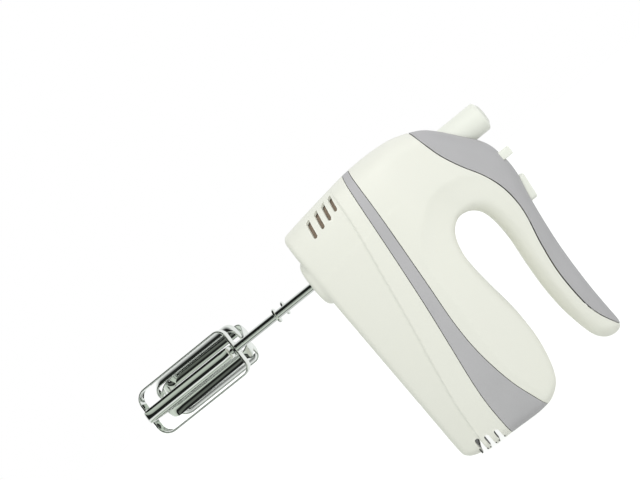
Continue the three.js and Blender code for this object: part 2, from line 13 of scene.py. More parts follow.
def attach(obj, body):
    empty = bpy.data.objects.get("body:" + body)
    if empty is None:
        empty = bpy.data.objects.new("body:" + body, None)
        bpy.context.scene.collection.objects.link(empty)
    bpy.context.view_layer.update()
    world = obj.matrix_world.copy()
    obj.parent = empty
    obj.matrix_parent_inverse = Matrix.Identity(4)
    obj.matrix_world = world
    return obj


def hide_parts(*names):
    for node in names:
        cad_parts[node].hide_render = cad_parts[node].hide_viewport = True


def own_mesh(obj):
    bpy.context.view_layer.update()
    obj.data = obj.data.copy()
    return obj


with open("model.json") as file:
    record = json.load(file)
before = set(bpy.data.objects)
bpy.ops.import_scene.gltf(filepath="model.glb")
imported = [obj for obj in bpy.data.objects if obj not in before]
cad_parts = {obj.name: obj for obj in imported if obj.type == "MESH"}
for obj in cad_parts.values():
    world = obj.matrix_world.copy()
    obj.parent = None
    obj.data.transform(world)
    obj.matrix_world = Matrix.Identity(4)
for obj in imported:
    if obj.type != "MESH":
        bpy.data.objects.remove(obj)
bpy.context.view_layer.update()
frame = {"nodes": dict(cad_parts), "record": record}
print("frame loaded:", len(frame["nodes"]), "nodes")

mm = 0.001


# Helpers for curves, meshes and pieces.

def roundCurve(points, perSpan=12, closed=False):
    # a smooth curve through the points
    pts = np.array(points, float)
    n = len(pts)
    spans = n if closed else n - 1
    out = []
    for i in range(spans):
        if closed:
            p0, p1, p2, p3 = (pts[(i + k) % n] for k in (-1, 0, 1, 2))
        else:
            p0, p1, p2, p3 = (pts[min(max(i + k, 0), n - 1)] for k in (-1, 0, 1, 2))
        t = np.linspace(0, 1, perSpan, endpoint=False)[:, None]
        out.append(0.5 * (2 * p1 + (p2 - p0) * t + (2 * p0 - 5 * p1 + 4 * p2 - p3) * t ** 2
                          + (3 * p1 - p0 - 3 * p2 + p3) * t ** 3))
    if not closed:
        out.append(pts[-1:])
    return np.vstack(out)


def smoothGraph(points):
    # a function of one value that runs smoothly through (input, output) points
    curve = roundCurve(sorted(points), 16)
    return lambda value: np.interp(value, curve[:, 0], curve[:, 1])


def softMin(a, b, blend):
    h = np.clip(0.5 + 0.5 * (b - a) / blend, 0, 1)
    return b + (a - b) * h - blend * h * (1 - h)


def softMax(a, b, blend):
    return -softMin(-a, -b, blend)


def ease(value, low, high):
    t = np.clip((value - low) / (high - low), 0, 1)
    return t * t * (3 - 2 * t)


def coordsOf(bm):
    return np.array([v.co for v in bm.verts])


def newPiece(name, bm, body, material, replaced=()):
    # turns a bmesh in millimetres into an object that rides on a body
    bmesh.ops.transform(bm, matrix=Matrix.Scale(mm, 4), verts=bm.verts)
    mesh = bpy.data.meshes.new(name)
    bm.to_mesh(mesh)
    bm.free()
    for face in mesh.polygons:
        face.use_smooth = True
    piece = bpy.data.objects.new(name, mesh)
    bpy.context.scene.collection.objects.link(piece)
    mesh.materials.append(material)
    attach(piece, body)
    if replaced:
        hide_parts(*replaced)
    return piece


def addBevel(piece, width, angle, segments=2):
    bevel = piece.modifiers.new("edge", "BEVEL")
    bevel.width = width * mm
    bevel.segments = segments
    bevel.limit_method = "ANGLE"
    bevel.angle_limit = math.radians(angle)
    bevel.harden_normals = True


def setCrease(piece, angle):
    piece.data.set_sharp_from_angle(angle=math.radians(angle))


# Materials, all made from nodes.

def startMaterial(name):
    mat = bpy.data.materials.new(name)
    mat.use_nodes = True
    shader = mat.node_tree.nodes["Principled BSDF"]
    return mat, mat.node_tree, shader


def node(tree, kind, inputs=None, **settings):
    n = tree.nodes.new(kind)
    for key, value in settings.items():
        setattr(n, key, value)
    for key, value in (inputs or {}).items():
        n.inputs[key].default_value = value
    return n


def objectPlace(tree, scale=(1, 1, 1)):
    place = node(tree, "ShaderNodeTexCoord")
    mapping = node(tree, "ShaderNodeMapping", {"Scale": scale})
    tree.links.new(place.outputs["Object"], mapping.inputs["Vector"])
    return mapping.outputs["Vector"]


def noiseAt(tree, place, scale, detail=3.0, roughness=0.5):
    n = node(tree, "ShaderNodeTexNoise", {"Scale": scale, "Detail": detail, "Roughness": roughness})
    tree.links.new(place, n.inputs["Vector"])
    return n.outputs["Fac"]


def spread(tree, value, fromLow, fromHigh, toLow, toHigh):
    n = node(tree, "ShaderNodeMapRange", {"From Min": fromLow, "From Max": fromHigh, "To Min": toLow,
                                          "To Max": toHigh})
    tree.links.new(value, n.inputs["Value"])
    return n.outputs["Result"]


def blendColors(tree, factor, first, second):
    n = node(tree, "ShaderNodeMix", data_type="RGBA")
    tree.links.new(factor, n.inputs["Factor"])
    for key, color in (("A", first), ("B", second)):
        if isinstance(color, tuple):
            n.inputs[key].default_value = (*color, 1)
        else:
            tree.links.new(color, n.inputs[key])
    return n.outputs["Result"]


def addBumps(tree, shader, heights):
    # heights: (socket, strength, distance) laid one over another
    normal = None
    for height, strength, distance in heights:
        bump = node(tree, "ShaderNodeBump", {"Strength": strength, "Distance": distance})
        tree.links.new(height, bump.inputs["Height"])
        if normal is not None:
            tree.links.new(normal, bump.inputs["Normal"])
        normal = bump.outputs["Normal"]
    tree.links.new(normal, shader.inputs["Normal"])


def mouldedPlastic(name, color, shade, roughness, grain, grainDepth):
    # fine mould texture over a slow ripple, with a painted highlight: convex edges are painted paler
    mat, tree, shader = startMaterial(name)
    place = objectPlace(tree)
    cloud = spread(tree, noiseAt(tree, place, 22, 3), 0.35, 0.65, 0, 1)
    # painted highlight: on convex edges the colour is blended towards a paler tone
    edge = node(tree, "ShaderNodeNewGeometry").outputs["Pointiness"]
    edgeHighlight = spread(tree, edge, 0.52, 0.6, 0, 1)
    base = blendColors(tree, cloud, color, shade)
    highlightTone = tuple(min(1, c * 1.05 + 0.01) for c in color)
    tree.links.new(blendColors(tree, edgeHighlight, base, highlightTone), shader.inputs["Base Color"])
    fine = noiseAt(tree, place, grain, 2, 0.6)
    rough = spread(tree, noiseAt(tree, place, 60, 4), 0.3, 0.7, roughness - 0.04, roughness + 0.05)
    tree.links.new(rough, shader.inputs["Roughness"])
    ripple = noiseAt(tree, place, 14, 1)
    addBumps(tree, shader, [(ripple, 0.12, 0.0006), (fine, 0.35, grainDepth)])
    shader.inputs["IOR"].default_value = 1.5
    return mat


def metalFinish(name, color, dark, roughness, brush=(1, 1, 1), brushScale=300, depth=0.00002):
    mat, tree, shader = startMaterial(name)
    place = objectPlace(tree, brush)
    streak = noiseAt(tree, place, brushScale, 3, 0.6)
    tone = blendColors(tree, spread(tree, streak, 0.3, 0.7, 0, 1), color, dark)
    tree.links.new(tone, shader.inputs["Base Color"])
    rough = spread(tree, streak, 0.3, 0.7, roughness * 0.9, roughness * 1.1)
    tree.links.new(rough, shader.inputs["Roughness"])
    shader.inputs["Metallic"].default_value = 1.0
    addBumps(tree, shader, [(streak, 0.1, depth)])
    return mat


def dullFinish(name, color, other, roughness, scale=120, depth=0.00005):
    mat, tree, shader = startMaterial(name)
    place = objectPlace(tree)
    speck = noiseAt(tree, place, scale, 4, 0.6)
    tone = blendColors(tree, spread(tree, speck, 0.3, 0.7, 0, 1), color, other)
    tree.links.new(tone, shader.inputs["Base Color"])
    shader.inputs["Roughness"].default_value = roughness
    addBumps(tree, shader, [(speck, 0.4, depth)])
    return mat


def windingFinish(name):
    # enamelled wire laid turn beside turn
    mat, tree, shader = startMaterial(name)
    place = objectPlace(tree)
    look = {"Scale": 320, "Distortion": 1.5, "Detail": 1}
    wave = node(tree, "ShaderNodeTexWave", look, bands_direction="Z")
    tree.links.new(place, wave.inputs["Vector"])
    tone = blendColors(tree, wave.outputs["Fac"], (0.30, 0.09, 0.03), (0.62, 0.24, 0.09))
    tree.links.new(tone, shader.inputs["Base Color"])
    shader.inputs["Metallic"].default_value = 0.8
    shader.inputs["Roughness"].default_value = 0.35
    addBumps(tree, shader, [(wave.outputs["Fac"], 0.7, 0.0002)])
    return mat


whitePlastic = mouldedPlastic("white_plastic", (0.836, 0.838, 0.760),
                              (0.838, 0.840, 0.758), 0.38, 900, 0.00006)
buttonPlastic = mouldedPlastic("button_plastic", (0.87, 0.885, 0.805),
                               (0.855, 0.87, 0.79), 0.33, 1100, 0.00004)
# painted shade: the cover takes the band's grey plastic a little darker, a shaded copy of it
coverGreyShaded = mouldedPlastic("cover_grey_shaded", (0.478, 0.472, 0.483),
                              (0.452, 0.447, 0.457), 0.5, 1500, 0.00012)
greyPlastic = mouldedPlastic("grey_plastic", (0.500, 0.494, 0.505),
                             (0.475, 0.470, 0.480), 0.5, 1500, 0.00012)
# painted shade: the brown of the sheet behind the nose slots stands for the shaded inside
slotShadeFinish = dullFinish("slot_shade_finish", (0.30, 0.235, 0.18), (0.25, 0.195, 0.145), 0.8, 600)
chrome = metalFinish("chrome_plate", (0.88, 0.90, 0.88), (0.84, 0.86, 0.84), 0.035, (0.02, 1, 1), 260,
                     0.0000004)
springSteel = metalFinish("spring_steel", (0.62, 0.62, 0.61), (0.52, 0.52, 0.51), 0.28)
slotFinish = {
    "steel": metalFinish("ground_steel", (0.52, 0.52, 0.53), (0.38, 0.38, 0.39), 0.32, (1, 1, 0.05), 700),
    "laminations": metalFinish("sheet_stack", (0.20, 0.21, 0.22), (0.09, 0.09, 0.10), 0.5, (0.03, 0.03, 1),
                               1400),
    "copper": windingFinish("enamelled_wire"),
    "bronze": metalFinish("sintered_bronze", (0.45, 0.29, 0.13), (0.30, 0.19, 0.08), 0.45, (1, 1, 1), 900),
    "die_cast": metalFinish("zinc_casting", (0.45, 0.45, 0.46), (0.36, 0.36, 0.37), 0.5, (1, 1, 1), 260),
    "nylon": dullFinish("natural_nylon", (0.74, 0.71, 0.61), (0.66, 0.62, 0.52), 0.45),
    "black_plastic": dullFinish("black_moulding", (0.030, 0.028, 0.026), (0.018, 0.018, 0.018), 0.45),
    "carbon": dullFinish("pressed_carbon", (0.035, 0.035, 0.037), (0.02, 0.02, 0.021), 0.6, 400),
    "board": dullFinish("board_lacquer", (0.05, 0.19, 0.08), (0.03, 0.12, 0.05), 0.35, 80),
    "capacitor_film": dullFinish("capacitor_case", (0.62, 0.45, 0.06), (0.52, 0.36, 0.04), 0.35),
    "lead_sleeve": dullFinish("lead_sleeve", (0.32, 0.04, 0.03), (0.22, 0.025, 0.02), 0.5),
}
# the inner parts keep the shape they have in the frame and take a finish by their material
for part in frame["record"]["subparts"]:
    if part["material_slot"] in slotFinish:
        shown = frame["nodes"][part["node"]]
        shown.data.materials.clear()
        shown.data.materials.append(slotFinish[part["material_slot"]])
print("materials ready")


# Camera, light and floor.

view = {
    "place": (44.6, -600.0, 165.8),
    "aim": (-30.8, 0.0, 177.9),
    "roll": 38.87,
    "lens": 48.94,
    "sensor": 36.0,
}


def addCamera():
    camera = bpy.data.objects.new("camera", bpy.data.cameras.new("camera"))
    bpy.context.scene.collection.objects.link(camera)
    place = Vector(view["place"]) * mm
    forward = (Vector(view["aim"]) * mm - place).normalized()
    upright = (Vector((0, 0, 1)) - forward * forward.z).normalized()
    right = forward.cross(upright)
    roll = math.radians(view["roll"])
    up = upright * math.cos(roll) + right * math.sin(roll)
    side = forward.cross(up)
    turn = Matrix((side, up, -forward)).transposed()
    camera.matrix_world = Matrix.Translation(place) @ turn.to_4x4()
    camera.data.lens = view["lens"]
    camera.data.sensor_width = view["sensor"]
    camera.data.clip_end = 20
    bpy.context.scene.camera = camera


ground = {"radius": 6, "drop": 0.0004, "seen": 0.95, "onParts": 0.54}


def addFloor():
    bm = bmesh.new()
    bmesh.ops.create_circle(bm, cap_ends=True, radius=ground["radius"], segments=64)
    mesh = bpy.data.meshes.new("floor")
    bm.to_mesh(mesh)
    bm.free()
    floor = bpy.data.objects.new("floor", mesh)
    bpy.context.scene.collection.objects.link(floor)
    floor.location.z = -ground["drop"]
    mat, tree, shader = startMaterial("pale_floor")
    place = objectPlace(tree)
    tone = blendColors(tree, noiseAt(tree, place, 3, 2), (0.28, 0.28, 0.28), (0.30, 0.30, 0.30))
    tree.links.new(tone, shader.inputs["Base Color"])
    shader.inputs["Roughness"].default_value = 0.8
    shader.inputs["Emission Color"].default_value = (0.98, 1, 0.98, 1)
    rays = node(tree, "ShaderNodeLightPath")
    glow = spread(tree, rays.outputs["Is Camera Ray"], 0, 1, ground["onParts"], ground["seen"])
    tree.links.new(glow, shader.inputs["Emission Strength"])
    mesh.materials.append(mat)
    floor.visible_glossy = False


lamps = {
    "key": {"place": (0.08, -0.44, 0.46), "size": 0.36, "power": 0.98},
    "fill": {"place": (1.3, -0.7, 0.7), "size": 1.6, "power": 2.0},
    "aim": (0, 0, 0.1),
}


def addLamp(name):
    form = lamps[name]
    lamp = bpy.data.objects.new(name, bpy.data.lights.new(name, "AREA"))
    bpy.context.scene.collection.objects.link(lamp)
    lamp.location = form["place"]
    lamp.data.size = form["size"]
    lamp.data.energy = form["power"]
    lamp.visible_glossy = False
    lamp.visible_camera = False
    aim = Vector(lamps["aim"]) - lamp.location
    lamp.rotation_euler = aim.to_track_quat("-Z", "Y").to_euler()


room = {
    "soft": [(0.0, (0.59, 0.65, 0.59)), (0.42, (0.615, 0.64, 0.615)), (1.0, (0.80, 0.80, 0.81))],
    "softUp": (0.62, -0.10, 0.78),
    "behind": (0.35, 0.6),
    "cards": [(0.0, (0.9, 0.92, 0.9)), (0.100, (0.9, 0.92, 0.9)), (0.108, (0.015, 0.016, 0.015)),
              (0.150, (0.015, 0.016, 0.015)), (0.156, (0.13, 0.145, 0.125)), (0.185, (0.10, 0.11, 0.095)),
              (0.192, (0.012, 0.013, 0.012)), (0.222, (0.012, 0.013, 0.012)), (0.232, (0.50, 0.55, 0.48)),
              (0.300, (0.68, 0.74, 0.66)), (0.400, (0.62, 0.68, 0.60)), (0.408, (0.20, 0.22, 0.19)),
              (0.422, (0.20, 0.22, 0.19)), (0.430, (0.48, 0.53, 0.46)), (0.462, (0.42, 0.46, 0.40)),
              (0.468, (0.80, 0.84, 0.79)), (0.484, (0.95, 0.97, 0.94)), (0.490, (0.012, 0.013, 0.012)),
              (0.532, (0.012, 0.013, 0.012)), (0.540, (0.36, 0.40, 0.345)), (0.575, (0.56, 0.62, 0.54)),
              (0.590, (0.46, 0.51, 0.44)), (0.598, (0.010, 0.011, 0.010)),
              (0.80, (0.010, 0.011, 0.010)), (1.0, (0.03, 0.033, 0.03))],
}


def fillRamp(ramp, stops):
    elements = ramp.color_ramp.elements
    elements[0].position, elements[1].position = stops[0][0], stops[-1][0]
    elements[0].color, elements[1].color = (*stops[0][1], 1), (*stops[-1][1], 1)
    for position, color in stops[1:-1]:
        elements.new(position).color = (*color, 1)


def addSurroundings():
    # an even white room; polished metal sees dark and pale cards, stacked by height, instead
    world = bpy.data.worlds.new("room")
    bpy.context.scene.world = world
    world.use_nodes = True
    tree = world.node_tree
    tree.nodes.clear()
    out = node(tree, "ShaderNodeOutputWorld")
    place = node(tree, "ShaderNodeTexCoord")
    axes = node(tree, "ShaderNodeSeparateXYZ")
    tree.links.new(place.outputs["Generated"], axes.inputs["Vector"])
    cards = node(tree, "ShaderNodeValToRGB")
    fillRamp(cards, room["cards"])
    angle = node(tree, "ShaderNodeMath", operation="ARCSINE")
    tree.links.new(axes.outputs["Z"], angle.inputs[0])
    height = spread(tree, angle.outputs["Value"], -math.pi / 2, math.pi / 2, 0, 1)
    tree.links.new(height, cards.inputs["Fac"])
    behind = spread(tree, axes.outputs["Y"], *room["behind"], 0, 1)
    backed = node(tree, "ShaderNodeMix", data_type="RGBA")
    tree.links.new(behind, backed.inputs["Factor"])
    tree.links.new(cards.outputs["Color"], backed.inputs["A"])
    backed.inputs["B"].default_value = (0.9, 0.92, 0.9, 1)
    rise = node(tree, "ShaderNodeVectorMath", operation="DOT_PRODUCT")
    tree.links.new(place.outputs["Generated"], rise.inputs[0])
    rise.inputs[1].default_value = room["softUp"]
    softRamp = node(tree, "ShaderNodeValToRGB")
    fillRamp(softRamp, room["soft"])
    tree.links.new(spread(tree, rise.outputs["Value"], -1, 1, 0, 1), softRamp.inputs["Fac"])
    polished = node(tree, "ShaderNodeBackground", {"Strength": 1.0})
    tree.links.new(backed.outputs["Result"], polished.inputs["Color"])
    soft = node(tree, "ShaderNodeBackground", {"Strength": 1.0})
    tree.links.new(softRamp.outputs["Color"], soft.inputs["Color"])
    white = node(tree, "ShaderNodeBackground", {"Color": (1.0, 1.0, 1.0, 1), "Strength": 1.0})
    rays = node(tree, "ShaderNodeLightPath")
    glossy = node(tree, "ShaderNodeMixShader")
    tree.links.new(rays.outputs["Is Glossy Ray"], glossy.inputs["Fac"])
    tree.links.new(soft.outputs["Background"], glossy.inputs[1])
    tree.links.new(polished.outputs["Background"], glossy.inputs[2])
    seen = node(tree, "ShaderNodeMixShader")
    tree.links.new(rays.outputs["Is Camera Ray"], seen.inputs["Fac"])
    tree.links.new(glossy.outputs["Shader"], seen.inputs[1])
    tree.links.new(white.outputs["Background"], seen.inputs[2])
    tree.links.new(seen.outputs["Shader"], out.inputs["Surface"])


addCamera()
addFloor()
addSurroundings()
addLamp("key")
addLamp("fill")
bpy.context.scene.view_settings.view_transform = "Standard"
print("camera, light and floor ready")


# The casing's form. Outline points are (x, z); every length is in millimetres.

casing = {
    "outline": [
        (-47.7, 184), (-48.2, 190.0), (-46.4, 193.9), (-41.5, 195.0), (-30, 196.7), (-8, 199.7), (12, 202.0),
        (30, 202.6), (46, 201.3), (56, 198.7), (64, 195.4), (71, 191.2), (78, 184.4), (87.8, 172.6),
        (96, 162), (100, 153), (102, 140), (101.4, 128), (98, 111), (93.6, 76), (92.1, 44), (92.4, 22),
        (92.6, 10.9), (89.9, 6.5), (84.6, 5.4), (78.8, 7.4), (73.9, 13.2), (70.8, 24), (68.6, 39), (68.0, 57),
        (69.2, 78), (71.1, 97), (70.7, 112), (68.4, 121.8), (63.4, 128.6), (56.2, 131.6), (50.3, 130.4),
        (45.0, 125.6), (41.6, 117.6), (39.8, 106), (39.9, 92), (41.4, 76), (43.5, 58), (43.9, 42), (41.0, 24),
        (35.7, 10.9), (26.8, 3.6), (17, 0.7), (9, 0.0), (1, 0.0), (-7, 0.0), (-15, 0.0), (-23, 0.1),
        (-31, 1.5), (-37, 3.2), (-41, 5.8), (-42.9, 11), (-43.6, 36), (-44.3, 62), (-45.7, 112),
        (-46.9, 158)],
    "noseLine": [(-50, 193), (-41, 194.4), (-30, 196.7), (-8, 199.7), (12, 202), (30, 202.6), (46, 201.3),
                 (56, 198.7), (66, 194.6), (110, 190)],
    "bodyAcross": [(-52, 37.5), (-40, 39.6), (-20, 41.4), (0, 42), (14, 41.8), (24, 40.6), (34, 37.6),
                   (44, 32.5), (52, 26.5), (60, 20), (75, 11), (110, 5)],
    "upperAcross": [(-50, 34), (0, 36.5), (20, 36.2), (40, 33.5), (55, 30), (70, 25.5), (82, 21.5),
                    (92, 18.5), (100, 16.5), (108, 15)],
    "upperAlong": [(-5, 13.5), (8, 14.6), (20, 15.6), (60, 16.2), (92, 16.6), (106, 18), (118, 21), (130, 25),
                   (142, 29), (155, 32.5), (168, 34), (180, 34), (210, 34)],
    "behindNose": [(-4, 19), (0, 23.5), (4, 29), (10, 34), (19, 38), (30, 40.6), (44, 42.2), (60, 43),
                   (260, 43)],
    "aboveHeel": [(-4, 32.5), (0, 34.6), (4, 37), (12, 39.6), (30, 41.7), (60, 42.6), (260, 43)],
    "noseRound": [(-52, 4.2), (-38, 5), (-15, 7.5), (8, 10), (28, 13), (44, 14), (56, 13), (75, 11),
                  (110, 10)],
    "gapRound": [(-52, 4.2), (-38, 5), (-15, 7.5), (8, 7.5), (28, 5), (44, 3.8), (56, 4.2), (66, 6.5),
                 (75, 9), (110, 10)],
    "handleRound": 8.8, "roundPower": 2.0, "handlePower": 1.7,
    "crease": [(-10, -27), (9, -25.9), (38, -23.9), (70, -18.9), (102, -13.2), (134, -8.2), (166, -3.2),
               (188, -1.4), (215, -1)],
    "creaseDrop": 3.4, "creaseStep": 0.95, "creaseBase": 42.8, "creaseLean": 0.027,
    "bodyBlend": 5, "upperBlend": 4, "joinBlend": 6, "upperNose": 0.93,
    "ridge": [(87.2, 105.6), (89.8, 126.9), (80.9, 144.5), (65.4, 154.2), (48.4, 154.7), (35.3, 147.5),
              (23.4, 136.3), (17.4, 123.3), (15.6, 106.7), (15.8, 88.7), (15.4, 77.2), (14.4, 60.6),
              (15.4, 39.4), (20.4, 17.3), (24.5, 3)],
    "ridgeDrop": 2.9, "ridgeReach": 8.5, "ridgeOnset": 2.0, "hollowMost": 26,
    "hollowEndX": (60, 76), "hollowEndZ": (100, 130),
    "handleX": (55, 66), "handleZ": (118, 140), "noseZ": (148, 176),
    "boss": {"halfY": 31.5, "halfZ": 17.6, "centreZ": 156, "depth": -51.4, "root": -20, "edge": 4.2,
             "corner": 14, "blend": 3.0},
    "grid": 1.25, "low": (-54, -46.25, -4), "high": (106, 46.25, 206),
    "wall": 2.1,
    "seam": 0.4, "coverSeam": 0.75,
}

fieldStep = 0.5


def signedDistance(outline, xs, zs):
    # distance from each grid place to the closed outline, negative inside
    px, pz = np.meshgrid(xs, zs, indexing="ij")
    best = np.full(px.shape, 1e9)
    inside = np.zeros(px.shape, bool)
    for (ax, az), (bx, bz) in zip(outline, np.roll(outline, -1, axis=0)):
        dx, dz = bx - ax, bz - az
        t = np.clip(((px - ax) * dx + (pz - az) * dz) / (dx * dx + dz * dz + 1e-12), 0, 1)
        best = np.minimum(best, (px - ax - t * dx) ** 2 + (pz - az - t * dz) ** 2)
        if az != bz:
            crossing = ((az > pz) != (bz > pz)) & (px < (bx - ax) * (pz - az) / (bz - az) + ax)
            inside ^= crossing
    return np.where(inside, -1, 1) * np.sqrt(best)


outlineCurve = roundCurve(casing["outline"], 6, closed=True)
fieldX = np.arange(-58, 112, fieldStep)
fieldZ = np.arange(-8, 212, fieldStep)
sideField = signedDistance(outlineCurve, fieldX, fieldZ)
noseAt = smoothGraph(casing["noseLine"])
bodyAcross = smoothGraph(casing["bodyAcross"])
upperAcross = smoothGraph(casing["upperAcross"])
upperAlong = smoothGraph(casing["upperAlong"])
behindNose = smoothGraph(casing["behindNose"])
aboveHeel = smoothGraph(casing["aboveHeel"])
noseRound = smoothGraph(casing["noseRound"])
gapRound = smoothGraph(casing["gapRound"])
creaseAt = smoothGraph(casing["crease"])
# the hollow around the finger gap lies inside the ridge line
ridgeCurve = roundCurve(casing["ridge"], 6)
hollowOutline = np.vstack([ridgeCurve, [(60, -30), (160, -30), (160, 60), (95, 60)]])
hollowField = -signedDistance(hollowOutline, fieldX, fieldZ)


def readGrid(grid, x, z):
    u = np.clip((x - fieldX[0]) / fieldStep, 0, len(fieldX) - 1.001)
    w = np.clip((z - fieldZ[0]) / fieldStep, 0, len(fieldZ) - 1.001)
    i, k = u.astype(int), w.astype(int)
    fu, fw = u - i, w - k
    low = grid[i, k] * (1 - fw) + grid[i, k + 1] * fw
    high = grid[i + 1, k] * (1 - fw) + grid[i + 1, k + 1] * fw
    return low * (1 - fu) + high * fu


def halfWidthAt(x, z):
    nose = behindNose(noseAt(x) - z)
    blend = casing["bodyBlend"]
    body = softMin(softMin(bodyAcross(x), nose, blend), aboveHeel(z), blend)
    upper = softMin(upperAcross(x), upperAlong(z), blend)
    upper = softMin(upper, nose * casing["upperNose"], casing["upperBlend"])
    width = softMax(body, upper, casing["joinBlend"])
    below = np.maximum(creaseAt(z) - x, 0)
    facet = casing["creaseDrop"] * below / (creaseAt(z) + casing["creaseBase"] + z * casing["creaseLean"])
    facet = facet + casing["creaseStep"] * ease(below, 0, 1)
    hollow = readGrid(hollowField, x, z)
    onset = casing["ridgeOnset"]
    hollow = np.where(hollow > onset, hollow - onset / 2, np.maximum(hollow, 0) ** 2 / (2 * onset))
    fade = 1 - ease(x, *casing["hollowEndX"]) * (1 - ease(z, *casing["hollowEndZ"]))
    hollow = np.minimum(hollow, casing["hollowMost"]) * fade
    return width - facet - casing["ridgeDrop"] * (1 - np.exp(-hollow / casing["ridgeReach"]))


def casingField(x, y, z):
    a = readGrid(sideField, x, z)
    b = np.abs(y) - halfWidthAt(x, z)
    handle = ease(x, *casing["handleX"]) * (1 - ease(z, *casing["handleZ"]))
    up = ease(z, *casing["noseZ"])
    r = (noseRound(x) * up + gapRound(x) * (1 - up)) * (1 - handle) + casing["handleRound"] * handle
    # the handle's edges are broad soft facets, the others are plain rounds
    power = casing["roundPower"] * (1 - handle) + casing["handlePower"] * handle
    edge = (np.maximum(a + r, 1e-6) ** power + np.maximum(b + r, 1e-6) ** power) ** (1 / power)
    form = np.minimum(np.maximum(a, b) + r, 0) + edge - r
    boss = casing["boss"]
    by = np.abs(y) - boss["halfY"] + boss["corner"]
    bz = np.abs(z - boss["centreZ"]) - boss["halfZ"] + boss["corner"]
    flat = np.hypot(np.maximum(by, 0), np.maximum(bz, 0)) + np.minimum(np.maximum(by, bz), 0)
    flat = flat - boss["corner"]
    deep = np.maximum(boss["depth"] - x, x - boss["root"])
    e = boss["edge"]
    pad = np.minimum(np.maximum(flat, deep) + e, 0)
    pad = pad + np.hypot(np.maximum(flat + e, 0), np.maximum(deep + e, 0)) - e
    return softMin(form, pad, boss["blend"])


def pullOnto(field, points, reach, rounds):
    # moves the points along the field's slope to where it is zero
    for _ in range(rounds):
        value = field(*points.T)
        steps = np.eye(3) * reach
        slope = np.stack([field(*(points + d).T) - field(*(points - d).T) for d in steps], 1) / (2 * reach)
        points = points - slope * (value / np.maximum((slope ** 2).sum(1), 0.3))[:, None] * 0.9
    return points


def surfaceOf(field, low, high, step):
    # a closed mesh where the field is zero, one point in each crossed cell, then pulled onto the surface
    axes = [np.arange(lo, hi + step, step) for lo, hi in zip(low, high)]
    gx, gy, gz = np.meshgrid(*axes, indexing="ij")
    f = field(gx, gy, gz)
    shape = [n - 1 for n in f.shape]
    corners = [(i, j, k) for i in (0, 1) for j in (0, 1) for k in (0, 1)]
    inside = f < 0
    count = sum(inside[i:i + shape[0], j:j + shape[1], k:k + shape[2]].astype(int) for i, j, k in corners)
    active = (count > 0) & (count < 8)
    cells = np.argwhere(active)
    index = np.full(shape, -1)
    index[active] = np.arange(len(cells))
    total = np.zeros((len(cells), 3))
    hits = np.zeros(len(cells))
    ci = cells.T
    for axis in range(3):
        for p in (0, 1):
            for q in (0, 1):
                start = [p, q]
                start.insert(axis, 0)
                end = list(start)
                end[axis] = 1
                fa = f[ci[0] + start[0], ci[1] + start[1], ci[2] + start[2]]
                fb = f[ci[0] + end[0], ci[1] + end[1], ci[2] + end[2]]
                cross = (fa < 0) != (fb < 0)
                t = np.where(cross, fa / np.where(cross, fa - fb, 1), 0)
                place = np.array(start, float)[None, :] + np.outer(t, np.eye(3)[axis])
                total[cross] += place[cross]
                hits[cross] += 1
    points = (cells + total / hits[:, None]) * step + np.array([a[0] for a in axes])
    points = pullOnto(field, points, 0.2, 4)
    quads = []
    for axis in range(3):
        b, c = [k for k in range(3) if k != axis]
        lowSide = [slice(1, -1)] * 3
        lowSide[axis] = slice(0, -1)
        highSide = [slice(1, -1)] * 3
        highSide[axis] = slice(1, None)
        fa, fb = inside[tuple(lowSide)], inside[tuple(highSide)]
        for flip, found in ((False, fa & ~fb), (True, ~fa & fb)):
            at = np.argwhere(found)
            offset = np.ones(3, int)
            offset[axis] = 0
            at = at + offset
            ring = []
            for db, dc in ((0, 0), (-1, 0), (-1, -1), (0, -1)):
                spot = at.copy()
                spot[:, b] += db
                spot[:, c] += dc
                ring.append(index[spot[:, 0], spot[:, 1], spot[:, 2]])
            ring = np.stack(ring, 1)
            if flip != (axis == 1):
                ring = ring[:, ::-1]
            quads.append(ring)
    return points, np.vstack(quads)


def meshFrom(points, faces):
    mesh = bpy.data.meshes.new("form")
    mesh.from_pydata(points.tolist(), [], faces.tolist())
    bm = bmesh.new()
    bm.from_mesh(mesh)
    bpy.data.meshes.remove(mesh)
    return bm


def cutAlong(bm, valueOf, snap=0.2):
    # adds an edge wherever the value crosses zero
    bm.verts.index_update()
    co = coordsOf(bm)
    value = valueOf(co)
    step = 0.05
    slope = np.stack([valueOf(co + d) - valueOf(co - d) for d in np.eye(3) * step], 1) / (2 * step)
    near = np.abs(value) < snap
    shift = slope * (value / np.maximum((slope ** 2).sum(1), 0.2))[:, None]
    bm.verts.ensure_lookup_table()
    for i in np.nonzero(near)[0]:
        bm.verts[i].co -= Vector(shift[i])
    value[near] = 0
    ends = np.array([(e.verts[0].index, e.verts[1].index) for e in bm.edges])
    crossing = np.nonzero(value[ends[:, 0]] * value[ends[:, 1]] < 0)[0]
    bm.edges.ensure_lookup_table()
    zero = {bm.verts[i] for i in np.nonzero(near)[0]}
    for edge in [bm.edges[i] for i in crossing]:
        a, b = edge.verts
        va, vb = value[a.index], value[b.index]
        _, added = bmesh.utils.edge_split(edge, a, va / (va - vb))
        zero.add(added)
    faces = {f for v in zero for f in v.link_faces}
    for face in faces:
        marks = [v for v in face.verts if v in zero]
        if len(marks) < 2:
            continue
        order = list(face.verts)
        pairs = [(a, b) for n, a in enumerate(marks) for b in marks[n + 1:]
                 if (order.index(a) - order.index(b)) % len(order) not in (1, len(order) - 1)]
        if pairs:
            bmesh.utils.face_split(face, *pairs[0])


def keepWhere(bm, valueOf):
    # drops the faces whose middle has a negative value
    faces = list(bm.faces)
    middle = np.array([f.calc_center_median() for f in faces])
    value = valueOf(middle)
    bmesh.ops.delete(bm, geom=[f for f, v in zip(faces, value) if v < 0], context="FACES")
    loose = [v for v in bm.verts if not v.link_faces]
    bmesh.ops.delete(bm, geom=loose, context="VERTS")


def settle(bm):
    # draws every point of a cut mesh back onto the casing form
    for v, place in zip(bm.verts, pullOnto(casingField, coordsOf(bm), 0.1, 2)):
        v.co = place


